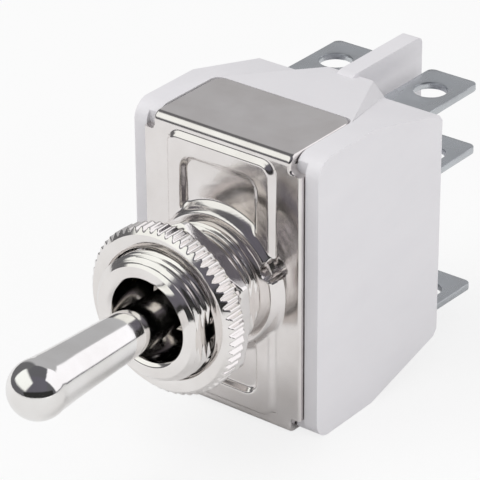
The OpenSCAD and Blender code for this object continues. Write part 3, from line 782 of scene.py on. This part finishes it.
class SWITCH_OT_terminals(bpy.types.Operator):
    """Build the six lugs with their legs inside the case"""

    bl_idname = "switch.terminals"
    bl_label = "Terminals"
    bl_options = {"REGISTER", "UNDO"}

    def execute(self, context):
        metal = make_materials(context.scene)["lug"]
        for pole in "ab":
            for row in ("up", "common", "down"):
                node = f"terminal_{pole}_{row}"
                low, high = node_box(node)
                middle = (low[0] + high[0]) / 2
                z = {"up": high[2] - 0.35, "common": high[2] - 0.35, "down": low[2] + 0.35}[row]
                half = (high[0] - low[0]) / 2
                grid = lug_points(
                    middle, z, LUG_START, high[1], half, LUG_HOLE_Y, LUG_HOLE_R, LUG_THICK, LUG_CORNER
                )
                if row == "down":
                    grid[..., 2] -= 0.03 * np.maximum(grid[..., 1] - 19.4, 0.0)
                leg = 2.0
                y0, y1 = LEG_Y
                if row == "common":
                    legs = [[(y0, low[2]), (y1, low[2]), (y1, z + 0.33), (y0, z + 0.33)]]
                    a = np.linspace(-math.pi / 2, -3 * math.pi / 2, 13)
                    tip = [(low[1] + 0.5 + 0.5 * np.cos(t), 0.5 * np.sin(t)) for t in a]
                    legs.append([(y0 + 0.1, -0.5)] + tip + [(y0 + 0.1, 0.5)])
                elif row == "up":
                    legs = [[(y0, low[2]), (y1, low[2]), (y1, z + 0.33), (y0, z + 0.33)]]
                else:
                    legs = [[(y0, z - 0.33), (y1, z - 0.33), (y1, high[2]), (y0, high[2])]]
                legs.append([
                    (y0 + 0.02, z - 0.31), (18.9, z - 0.31), (18.9, z + 0.31), (y0 + 0.02, z + 0.31),
                ])
                bars = [bar_points(o, middle - leg, middle + leg) for o in legs]
                if row == "common":
                    bars[1] = bar_points(legs[1], middle - leg + 0.5, middle + leg - 0.5)
                place(join_grids(f"lug_{pole}_{row}", [grid], bars), node, metal)
        return {"FINISHED"}


class SWITCH_OT_mechanism(bpy.types.Operator):
    """Give the pieces inside the case their finishes"""

    bl_idname = "switch.mechanism"
    bl_label = "Mechanism"
    bl_options = {"REGISTER", "UNDO"}

    FINISH = {
        "pivot_pin": "steel", "plunger_spring": "steel", "retainer": "brass", "plunger": "brass",
        "inner_cover": "cover", "rocker": "rocker", "blade_a": "copper", "blade_b": "copper",
    }

    def execute(self, context):
        made = make_materials(context.scene)
        for node, obj in NODES.items():
            contact = "silver" if node.startswith(("button_", "fixed_")) else None
            finish = self.FINISH.get(node, contact)
            if finish:
                obj.data.materials.clear()
                obj.data.materials.append(made[finish])
        return {"FINISHED"}


class SWITCH_OT_stage(bpy.types.Operator):
    """Set up the floor, the studio light and the camera"""

    bl_idname = "switch.stage"
    bl_label = "Stage"
    bl_options = {"REGISTER", "UNDO"}

    def execute(self, context):
        scene = context.scene
        set_floor(scene)
        set_world(scene)
        set_tent()
        set_lamps(scene)
        set_camera(scene)
        scene.view_settings.view_transform = "Standard"
        return {"FINISHED"}


def seen_directly(tree, glossy=True):
    """1 for rays from the camera, and for reflections and refractions if glossy is on."""
    path = tree.nodes.new("ShaderNodeLightPath")
    total = path.outputs["Is Camera Ray"]
    if glossy:
        for name in ("Is Glossy Ray", "Is Transmission Ray"):
            add = tree.nodes.new("ShaderNodeMath")
            add.operation = "MAXIMUM"
            tree.links.new(total, add.inputs[0])
            tree.links.new(path.outputs[name], add.inputs[1])
            total = add.outputs[0]
    return total


def set_floor(scene):
    """A large pale floor under the case that looks near white and keeps a soft shadow."""
    z = CAD_BOX[0][2] / MM - 0.02
    far = 900.0
    points = [[-far, -far, z], [far, -far, z], [far, far, z], [-far, far, z]]
    floor = write_mesh("studio_floor", points, [[0, 1, 2, 3]])
    if floor.data.polygons[0].normal.z < 0:
        floor.data.flip_normals()
    material, tree, shader = new_material("studio_floor")
    shader.inputs["Base Color"].default_value = tuple(scene.switch_colours.floor) + (1.0,)
    shader.inputs["Roughness"].default_value = 0.9
    shader.inputs["Specular IOR Level"].default_value = 0.0
    glow = tree.nodes.new("ShaderNodeEmission")
    glow.inputs["Color"].default_value = (1.0, 1.0, 1.0, 1.0)
    glow.inputs["Strength"].default_value = 1.0
    mix = tree.nodes.new("ShaderNodeMixShader")
    level = tree.nodes.new("ShaderNodeMath")
    level.operation = "MULTIPLY"
    level.inputs[1].default_value = 0.8
    tree.links.new(seen_directly(tree, False), level.inputs[0])
    tree.links.new(level.outputs[0], mix.inputs["Fac"])
    tree.links.new(shader.outputs[0], mix.inputs[1])
    tree.links.new(glow.outputs[0], mix.inputs[2])
    tree.links.new(mix.outputs[0], tree.nodes["Material Output"].inputs["Surface"])
    floor.data.materials.append(material)


def set_world(scene):
    """A white studio: white where it is seen or reflected, dimmer where it only lights."""
    world = bpy.data.worlds.new("studio")
    scene.world = world
    world.use_nodes = True
    tree = world.node_tree
    back = tree.nodes["Background"]
    back.inputs["Color"].default_value = (1.0, 1.0, 1.0, 1.0)
    mix = tree.nodes.new("ShaderNodeMapRange")
    mix.inputs["To Min"].default_value = scene.switch_stage.ambient
    mix.inputs["To Max"].default_value = 1.0
    tree.links.new(seen_directly(tree, True), mix.inputs["Value"])
    tree.links.new(mix.outputs["Result"], back.inputs["Strength"])


def lamp(name, power, size, spot, aim, tint=(1, 1, 1)):
    """A square lamp of a size in millimetres at spot, turned to face aim."""
    data = bpy.data.lights.new(name, "AREA")
    data.energy = power
    data.size = size * MM
    data.color = tint
    obj = bpy.data.objects.new(name, data)
    bpy.context.scene.collection.objects.link(obj)
    spot, aim = Vector(spot) * MM, Vector(aim) * MM
    turn = (spot - aim).to_track_quat("Z", "Y").to_matrix().to_4x4()
    obj.matrix_world = Matrix.Translation(spot) @ turn
    obj.visible_glossy = False
    return obj


def maths(tree, operation, *values):
    """One math node over sockets or numbers."""
    node = tree.nodes.new("ShaderNodeMath")
    node.operation = operation
    for socket, value in zip(node.inputs, values):
        if isinstance(value, (int, float)):
            socket.default_value = value
        else:
            tree.links.new(value, socket)
    return node.outputs[0]


def dotted(tree, vector, fixed):
    """The dot product of a vector socket with a fixed vector."""
    node = tree.nodes.new("ShaderNodeVectorMath")
    node.operation = "DOT_PRODUCT"
    tree.links.new(vector, node.inputs[0])
    node.inputs[1].default_value = fixed
    return node.outputs["Value"]


def fading(tree, value, edge, soft):
    """1 where a value is below edge, falling smoothly to 0 over a band soft."""
    node = tree.nodes.new("ShaderNodeMapRange")
    node.interpolation_type = "SMOOTHSTEP"
    node.inputs["From Min"].default_value = edge - soft
    node.inputs["From Max"].default_value = edge + soft
    node.inputs["To Min"].default_value = 1.0
    node.inputs["To Max"].default_value = 0.0
    tree.links.new(value, node.inputs["Value"])
    return node.outputs["Result"]


PANELS = (
    # azimuth, elevation, half angle across, half angle up, soft edge, colour
    (-60, 40, 40, 34, 0.16, (0.14, 0.135, 0.16)),
    (-48, 8, 52, 12, 0.06, (0.035, 0.035, 0.035)),
    (112, 26, 42, 34, 0.08, (0.48, 0.48, 0.49)),
    (172, 20, 22, 40, 0.1, (0.15, 0.15, 0.155)),
    (-128, 40, 34, 22, 0.1, (1.05, 1.07, 1.03)),
    (41, 32, 28, 30, 0.07, (1.1, 1.09, 1.12)),
)


def set_tent():
    """The studio round the switch, which only shows in reflections: a dim tent with two white
    panels and some grey ones. Each panel covers the directions whose slopes across and up from its
    middle are within its half angles, with soft edges."""
    rings = np.linspace(0, math.pi, 25)
    r, y = 700.0 * np.sin(rings[1:-1]), -700.0 * np.cos(rings[1:-1])
    turns = np.linspace(0, TAU, 48, endpoint=False)
    tent = ring_surface("studio_tent", r[:, None] * np.ones((1, 48)), y, turns, 60.0, True, True)
    material, tree, shader = new_material("studio_tent")
    tree.nodes.remove(shader)
    place_node = tree.nodes.new("ShaderNodeTexCoord")
    where = place_node.outputs["Object"]
    colour_now = (0.13, 0.13, 0.14)
    for azimuth, elevation, across, up, soft, tint in PANELS:
        a, e = math.radians(azimuth), math.radians(elevation)
        middle = Vector((math.cos(a) * math.cos(e), math.sin(a) * math.cos(e), math.sin(e)))
        side = Vector((-math.sin(a), math.cos(a), 0.0))
        top = middle.cross(side)
        depth = dotted(tree, where, middle)
        ahead = maths(tree, "MAXIMUM", depth, 1e-4)
        u = maths(tree, "ABSOLUTE", maths(tree, "DIVIDE", dotted(tree, where, side), ahead))
        v = maths(tree, "ABSOLUTE", maths(tree, "DIVIDE", dotted(tree, where, top), ahead))
        inside = maths(tree, "MULTIPLY", fading(tree, u, math.tan(math.radians(across)), soft),
                       fading(tree, v, math.tan(math.radians(up)), soft))
        mix = tree.nodes.new("ShaderNodeMix")
        mix.data_type = "RGBA"
        tree.links.new(inside, mix.inputs["Factor"])
        if isinstance(colour_now, tuple):
            mix.inputs["A"].default_value = colour_now + (1.0,)
        else:
            tree.links.new(colour_now, mix.inputs["A"])
        mix.inputs["B"].default_value = tint + (1.0,)
        colour_now = mix.outputs["Result"]
    glow = tree.nodes.new("ShaderNodeEmission")
    tree.links.new(colour_now, glow.inputs["Color"])
    tree.links.new(glow.outputs[0], tree.nodes["Material Output"].inputs["Surface"])
    tent.data.materials.append(material)
    tent.visible_camera = False
    tent.visible_diffuse = False
    tent.visible_shadow = False


def set_lamps(scene):
    """A large soft lamp above to the left and a smaller one to the right."""
    stage = scene.switch_stage
    lamp("key", stage.key, 260.0, (-150.0, -120.0, 330.0), (0, 0, 0))
    lamp("fill", stage.fill, 200.0, (300.0, -60.0, 120.0), (0, 0, 0))


def set_camera(scene):
    """The camera: back is the direction from the switch to the camera, and it slides in its plane."""
    stage = scene.switch_stage
    a, e, r = stage.azimuth, stage.elevation, stage.roll
    back = Vector((math.sin(a) * math.cos(e), -math.cos(a) * math.cos(e), math.sin(e)))
    right = Vector((math.cos(a), math.sin(a), 0.0))
    up = back.cross(right)
    turned_right = right * math.cos(r) + up * math.sin(r)
    turned_up = up * math.cos(r) - right * math.sin(r)
    data = bpy.data.cameras.new("camera")
    data.sensor_width = 36.0
    data.lens = stage.lens
    data.clip_start = 0.01
    camera = bpy.data.objects.new("camera", data)
    scene.collection.objects.link(camera)
    at = back * stage.distance + turned_right * stage.slide_x + turned_up * stage.slide_y
    turn = Matrix((turned_right, turned_up, back)).transposed().to_4x4()
    camera.matrix_world = Matrix.Translation(at) @ turn
    scene.camera = camera


class SWITCH_PT_panel(bpy.types.Panel):
    """Lists the pieces and the stage of the switch"""

    bl_label = "Panel Toggle Switch"
    bl_idname = "SWITCH_PT_panel"
    bl_space_type = "VIEW_3D"
    bl_region_type = "UI"
    bl_category = "Switch"

    def draw(self, context):
        for operator in OPERATORS:
            self.layout.operator(operator.bl_idname)


OPERATORS = (
    SWITCH_OT_case,
    SWITCH_OT_frame,
    SWITCH_OT_bushing,
    SWITCH_OT_nuts,
    SWITCH_OT_lever,
    SWITCH_OT_terminals,
    SWITCH_OT_mechanism,
    SWITCH_OT_stage,
)
GROUPS = (SwitchSizes, SwitchColours, SwitchStage)


def register():
    """Registers the settings, the operators and the panel."""
    for cls in GROUPS + OPERATORS + (SWITCH_PT_panel,):
        bpy.utils.register_class(cls)
    bpy.types.Scene.switch_sizes = bpy.props.PointerProperty(type=SwitchSizes)
    bpy.types.Scene.switch_colours = bpy.props.PointerProperty(type=SwitchColours)
    bpy.types.Scene.switch_stage = bpy.props.PointerProperty(type=SwitchStage)


def unregister():
    """Takes them away again."""
    del bpy.types.Scene.switch_stage
    del bpy.types.Scene.switch_colours
    del bpy.types.Scene.switch_sizes
    for cls in reversed(GROUPS + OPERATORS + (SWITCH_PT_panel,)):
        bpy.utils.unregister_class(cls)


def main():
    register()
    bpy.ops.switch.case()
    bpy.ops.switch.frame()
    bpy.ops.switch.bushing()
    bpy.ops.switch.nuts()
    bpy.ops.switch.lever()
    bpy.ops.switch.terminals()
    bpy.ops.switch.mechanism()
    bpy.ops.switch.stage()


if __name__ == "__main__":
    main()
